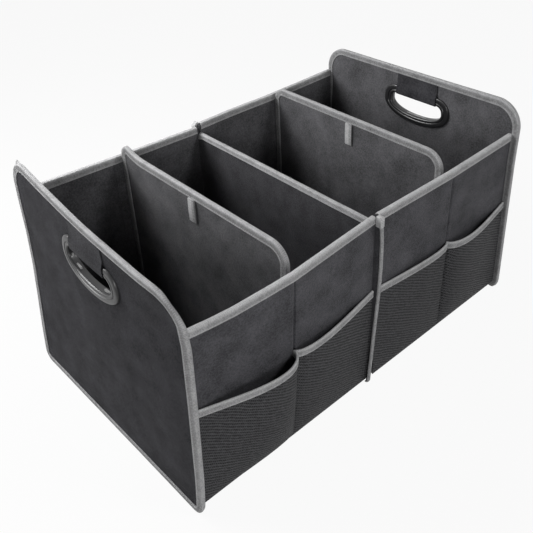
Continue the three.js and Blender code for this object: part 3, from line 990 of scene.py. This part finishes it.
def pocket_reach(x, z, side):
    """How far a pocket stands off the wall, the most of it near the fold."""
    along = abs(x)
    inner = along < FOLD_X
    width = FOLD_X - TRIM_START if inner else TRIM_END - FOLD_X
    share = clamp(abs(along - FOLD_X) / width)
    depth = POCKET_DEPTHS[side]["inner" if inner else "outer"]
    crown = max(math.sin(math.pi * share ** POCKET_PEAK), 0.0)
    belt = POCKET_HEIGHT - TAPE_WIDTH - SKIN
    up = clamp((z - WALL_FOOT) / (belt - WALL_FOOT))
    return depth * crown * math.sin(math.pi / 2 * up ** POCKET_BELLY)


def build_pocket(side):
    sign = SIDES[side]
    name = f"front_{side}_pocket"
    back = WALL_FACE + SKIN
    near = [FOLD_X + d for d in (-6, -3, -1.5, 0, 1.5, 3, 6)]
    along = stations(TRIM_START, TRIM_END, MESH_CELL, near)
    xs = mirrored(along, side)
    zs = stations(WALL_FOOT, POCKET_HEIGHT - SKIN, 5.0)
    seed = 21.0 + sign

    def ripple(x, z):
        up = clamp((z - WALL_FOOT) / POCKET_HEIGHT)
        to_fold = abs(abs(x) - FOLD_X)
        calm = clamp(to_fold / 16.0) * clamp(up * 4) * clamp((abs(x) - TRIM_START) / 16.0)
        calm *= clamp((TRIM_END - abs(x)) / 16.0)
        return 0.9 * wave(x, z * 0.5, 0, 28.0, seed) * calm * clamp((1 - up) * 5)

    def face(x, z):
        return (x, -(back + MESH_CLOTH + pocket_reach(x, z, side) + ripple(x, z)), z)

    sheet(f"{name}_net", xs, zs, face, (0, MESH_CLOTH, 0), MESH_FINISH, [f"{name}_mesh"])
    path = []
    for x in along:
        reach = pocket_reach(x, POCKET_HEIGHT, side)
        origin = Vector((sign * x, -(back + MESH_CLOTH / 2 + reach), POCKET_HEIGHT - SKIN))
        path.append(origin)
    frames = []
    for i, origin in enumerate(path):
        along = path[min(i + 1, len(path) - 1)] - path[max(i - 1, 0)]
        frames.append((origin, Vector((-along.y, along.x, 0)).normalized(), Z_AXIS))
    half = MESH_CLOTH / 2 + SEAT
    add_tape(f"{name}_hem", frames, tape_section(TAPE_WIDTH, half), [f"{name}_binding"])


# Middle partition

def fin_share(y):
    """0 on the partition and 1 on the thin fins that stand out from the walls."""
    return clamp((abs(y) - WALL_FACE) / 3.0)


def fin_bend(y, z):
    """The fin bows to the right, and its loose foot leans to the left."""
    return fin_share(y) * along_curve(FIN_BEND, z)


def fin_lift(y, z):
    """The fin's foot is a little short."""
    return FIN_FOOT_LIFT * fin_share(y) * clamp(1 - z / 60.0)


def build_partition():
    fin = FIN_FACE - SKIN
    shoulder = WALL_INSIDE - SKIN
    middle = PARTITION_HEIGHT - SKIN
    rim = (fin, SKIN, WALL_TOP, FIN_FOOT_RADIUS, (3.0, 3.0))
    us = stations(-fin, fin, CLOTH_CELL, [-shoulder, shoulder, -WALL_FACE, WALL_FACE, 3 - fin, fin - 3])
    vs = stations(SKIN, WALL_TOP, CLOTH_CELL, [middle])

    snap = partial(pull_in, rim=rim)

    def keep(u, v):
        return v < middle or abs(u) > shoulder

    for side, sign in SIDES.items():
        def face(u, v, sign=sign):
            ripple = 0.9 * wrinkle(u, v, 4.0 + sign) * clamp((shoulder - abs(u)) / 20.0)
            half = THICK / 2 + (FIN_HALF - THICK / 2) * fin_share(u)
            return (sign * (half + max(ripple, -0.2)) + fin_bend(u, v), u, v + fin_lift(u, v))
        sheet(f"partition_{side}", us, vs, face, (-sign * CLOTH, 0, 0), SHADED_PARTITION_FINISH,
              [f"partition_{side}_cloth"], keep, snap)

    path = partition_edge_path(fin)
    section = tape_section(FIN_TAPE_FLANGE + SKIN, FIN_HALF + SEAT)
    add_tape("partition_edge_tape", path, section, ["partition_edge_binding"])

    top_path = []
    for y in stations(-shoulder + SEAT, shoulder - SEAT, FINE_CELL):
        wobble = 0.3 * wave(0, y, 0, 40.0, 8.0)
        top_path.append((Vector((0.3 * wobble, y, middle + wobble)), X_AXIS, Z_AXIS))
    add_stitched_tape("partition_top_tape", top_path, PARTITION_TAPE_WIDTH, ["partition_top_binding"])
    for place, facing in (("front", -1), ("rear", 1)):
        build_fin_cap(place, facing)


def partition_edge_path(fin):
    """Down the rear fin, along the foot and up the front fin."""
    corner = math.radians(90) / 6
    middle_z = SKIN + FIN_FOOT_RADIUS
    flat = [((fin, z), (1, 0)) for z in reversed(stations(middle_z + 4, WALL_TOP, 8.0))]
    for sign, start in ((1, 0), (-1, -90)):
        for i in range(7):
            angle = math.radians(start) - corner * i
            normal = (math.cos(angle), math.sin(angle))
            y = sign * (fin - FIN_FOOT_RADIUS) + FIN_FOOT_RADIUS * normal[0]
            flat.append(((y, middle_z + FIN_FOOT_RADIUS * normal[1]), normal))
        if sign == 1:
            flat += [((y, SKIN), (0, -1)) for y in reversed(stations(-fin + 12, fin - 12, COARSE_CELL))]
    flat += [((-fin, z), (-1, 0)) for z in stations(middle_z + 4, WALL_TOP, 8.0)]
    path = []
    for (y, z), (out_y, out_z) in flat:
        origin = Vector((fin_bend(y, z), y, z + fin_lift(y, z)))
        path.append((origin, X_AXIS, Vector((0, out_y, out_z))))
    return path


def build_fin_cap(place, facing):
    """The end of the rim tape, wrapped down over the top of a fin."""
    half = THICK / 2 + SKIN
    low = RIM_HEIGHT - FIN_CAP_HEIGHT
    y_in = WALL_FACE + SKIN + SEAT
    y_out = FIN_FACE + 0.2
    section = [(-half, 0), (-half, 1), (-half + 0.8, 1.06), (half - 0.8, 1.06), (half, 1), (half, 0)]
    points, flats = [], []
    levels = [y_in, y_in + 2.5, y_in + 5.0, y_out - 0.8, y_out]
    for y in levels:
        drop = 0.9 if y == y_out else 0.0
        for a, b in section:
            z = low + (RIM_HEIGHT - low) * min(b, 1.0) + (0.5 if b > 1 else 0.0) - drop * (b > 0)
            points.append((a, facing * y, z))
            flats.append((y, a + z))
    faces = loft_faces(len(section), len(levels))
    add_piece(f"{place}_fin_cap", points, faces, flats, TAPE_FINISH, ())


# Loose dividers

def build_divider(side):
    x = DIVIDER_X[side]
    half = WALL_INSIDE - SKIN - DIVIDER_PLAY - SKIN - DIVIDER_GAP / 2
    back = DIVIDER_GAP / 2
    foot = BASE_TOP + SEAT + SKIN
    top = DIVIDER_HEIGHT - SKIN
    us = stations(-half, half, CLOTH_CELL)
    vs = stations(foot, top, CLOTH_CELL)
    name = f"{side}_divider"

    rim = (half, foot, top, 1.0, DIVIDER_RADII[side])
    keep = partial(inside_rounded, rim=rim)
    snap = partial(pull_in, rim=rim)

    def raised(u, v):
        """The rear top corner stands a little higher than the rest."""
        return DIVIDER_LIFT[side] * clamp((u - half + 50.0) / 40.0) ** 2 * clamp(v / DIVIDER_HEIGHT)

    for face_side, sign in SIDES.items():
        def face(u, v, sign=sign):
            edge = min(half - abs(u), v - foot, top - v)
            lift = 0.5 * clamp(edge / 25.0) + 0.8 * wrinkle(u, v, 0.1 * x + sign) * clamp(edge / 25.0)
            return (x + sign * (THICK / 2 + max(lift, -0.1)), u + back, v + raised(u, v))
        sheet(f"{name}_{face_side}", us, vs, face, (-sign * CLOTH, 0, 0), LIT_LINING_FINISH,
              [f"{name}_{face_side}_cloth"], keep, snap)
    outline = [(p + Vector((back, raised(p.x, p.y))), normal) for p, normal in rounded_path(*rim)]
    tape_ring(f"{name}_tape", x, outline, TAPE_WIDTH, [f"{name}_binding"], x)

    tab_top = DIVIDER_HEIGHT - TAPE_WIDTH - SEAT
    close = x - THICK / 2 - SEAT - TAPE / 2 - 0.6
    apart = close - TAPE - SEAT
    line = [
        (close, tab_top),
        (close, tab_top - TAB_LENGTH * 0.5),
        (close - 0.3, tab_top - TAB_LENGTH * 0.93),
        (close - 0.6, tab_top - TAB_LENGTH),
        (apart - 0.1, tab_top - TAB_LENGTH * 0.97),
        (apart - 0.4, tab_top - TAB_LENGTH * 0.5),
        (apart, tab_top),
    ]
    strip(f"{name}_tab", line, TAB_WIDTH / 2, TAB_SHIFT, TAPE, TAPE_FINISH,
          [f"{name}_pull_tab"], 2.0)


# Base

def build_base(side):
    sign = SIDES[side]
    floor_half = WALL_INSIDE - SEAT
    span = sorted((sign * WALL_START, sign * WALL_END))
    xs = stations(span[0], span[1], FLAT_CELL, [sign * FOLD_X])
    ys = stations(-floor_half, floor_half, FLAT_CELL)

    def under(x, y):
        return (x, y, WALL_FOOT)

    sheet(f"{side}_floor", xs, ys, under, (0, 0, CLOTH), CLOTH_FINISH, [f"{side}_floor_cloth"])

    half = WALL_INSIDE - BASE_PLAY
    span = sorted((sign * (WALL_START + BASE_PLAY), sign * (WALL_END - BASE_PLAY)))
    xs = stations(span[0], span[1], COARSE_CELL)
    ys = stations(-half, half, COARSE_CELL)

    def top(x, y):
        edge = min(x - span[0], span[1] - x, half - abs(y))
        return (x, y, BASE_TOP - 1.6 * (1 - clamp(edge / 7.0)) ** 2 + 0.25 * wave(x, y, 0, 50.0, sign))

    sheet(f"{side}_base_cover", xs, ys, top, (0, 0, -COVER_DEPTH), LIT_LINING_FINISH, [f"{side}_base_sleeve"])


for side_name in SIDES:
    build_end(side_name)
    build_wall("front", side_name)
    build_wall("rear", side_name)
    build_pocket(side_name)
    build_divider(side_name)
    build_base(side_name)
build_partition()

# The boards of the base, dividers and partition stay as the solids have them
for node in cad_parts:
    if node.endswith("_board"):
        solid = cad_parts[node]
        solid.data.materials.clear()
        solid.data.materials.append(BOARD_FINISH)


# Camera, fitted to the photograph's edges, and the stage's levels
PHOTO_SIZE = 533.0
FOCAL_PIXELS = 732.2
CENTRE_PIXEL = (267.9, 200.0)
CAMERA_AT = Vector((-570.3, -643.1 + FRAME_SHIFT_Y, 760.5)) * MM
AZIMUTH, ELEVATION, ROLL = (math.radians(a) for a in (-40.65, 32.23, -2.70))
LIGHT_TARGET = Vector((0, 0, 0.15))
FLOOR_REACH = 6.0
FLOOR_GLOW = 0.93
WORLD_LEVEL = 0.03


def build_camera():
    back = Vector((
        math.sin(AZIMUTH) * math.cos(ELEVATION),
        -math.cos(AZIMUTH) * math.cos(ELEVATION),
        math.sin(ELEVATION),
    ))
    level = Vector((math.cos(AZIMUTH), math.sin(AZIMUTH), 0))
    upright = back.cross(level)
    right = level * math.cos(ROLL) + upright * math.sin(ROLL)
    up = upright * math.cos(ROLL) - level * math.sin(ROLL)
    data = bpy.data.cameras.new("camera")
    data.sensor_width = 36.0
    data.lens = FOCAL_PIXELS / PHOTO_SIZE * data.sensor_width
    data.shift_x = (PHOTO_SIZE / 2 - CENTRE_PIXEL[0]) / PHOTO_SIZE
    data.shift_y = (CENTRE_PIXEL[1] - PHOTO_SIZE / 2) / PHOTO_SIZE
    camera = add_object("camera", data)
    turn = Matrix((right, up, back)).transposed().to_4x4()
    camera.matrix_world = Matrix.Translation(CAMERA_AT) @ turn
    bpy.context.scene.camera = camera


def add_light(name, at, size, power):
    """A square light in watts, turned to the middle of the object."""
    data = bpy.data.lights.new(name, "AREA")
    data.shape = "SQUARE"
    data.size = size
    data.energy = power
    light = add_object(name, data)
    light.location = at
    light.rotation_euler = (Vector(at) - LIGHT_TARGET).to_track_quat("Z", "Y").to_euler()


def build_stage():
    """A plain white floor and world, seen as white, with a modest level on the object."""
    mesh = bpy.data.meshes.new("floor")
    turns = ((-1, -1), (1, -1), (1, 1), (-1, 1))
    mesh.from_pydata([(x * FLOOR_REACH, y * FLOOR_REACH, 0) for x, y in turns], [], [(0, 1, 2, 3)])
    floor = add_object("floor", mesh)
    material, n = new_material("floor")
    set_inputs(n.shader, base_color=(0.5, 0.5, 0.5, 1), roughness=0.9)
    glow = n.new("Emission")
    set_inputs(glow, color=(1, 1, 1, 1), strength=1.0)
    mix = n.new("MixShader")
    rays = n.new("LightPath")
    seen = n.math("MAXIMUM", rays.outputs["Is Camera Ray"], rays.outputs["Is Glossy Ray"])
    share = n.scaled(seen, FLOOR_GLOW)
    n.feed(mix.inputs[0], share)
    n.feed(mix.inputs[1], n.shader.outputs[0])
    n.feed(mix.inputs[2], glow.outputs[0])
    n.feed(n.output.inputs[0], mix.outputs[0])
    mesh.materials.append(material)

    world = bpy.data.worlds.new("world")
    bpy.context.scene.world = world
    n = Nodes(world)
    output = n.new("OutputWorld")
    background = n.new("Background")
    set_inputs(background, color=(1, 1, 1, 1))
    rays = n.new("LightPath")
    seen = n.math("MAXIMUM", rays.outputs["Is Camera Ray"], rays.outputs["Is Transmission Ray"])
    seen = n.math("MAXIMUM", seen, rays.outputs["Is Glossy Ray"])
    strength = n.scaled(seen, 1.0 - WORLD_LEVEL, WORLD_LEVEL)
    n.feed(background.inputs["Strength"], strength)
    n.feed(output.inputs[0], background.outputs[0])


build_stage()
build_camera()
add_light("rear", (-0.35, 0.6, 0.9), 0.4, 10.0)
add_light("back_left", (-1.0, 0.9, 0.8), 0.5, 12.0)
add_light("front_left", (-0.95, -1.5, 0.7), 0.5, 12.5)
add_light("front_right", (0.7, -1.5, 1.7), 0.5, 18.0)
bpy.context.scene.view_settings.view_transform = "Standard"
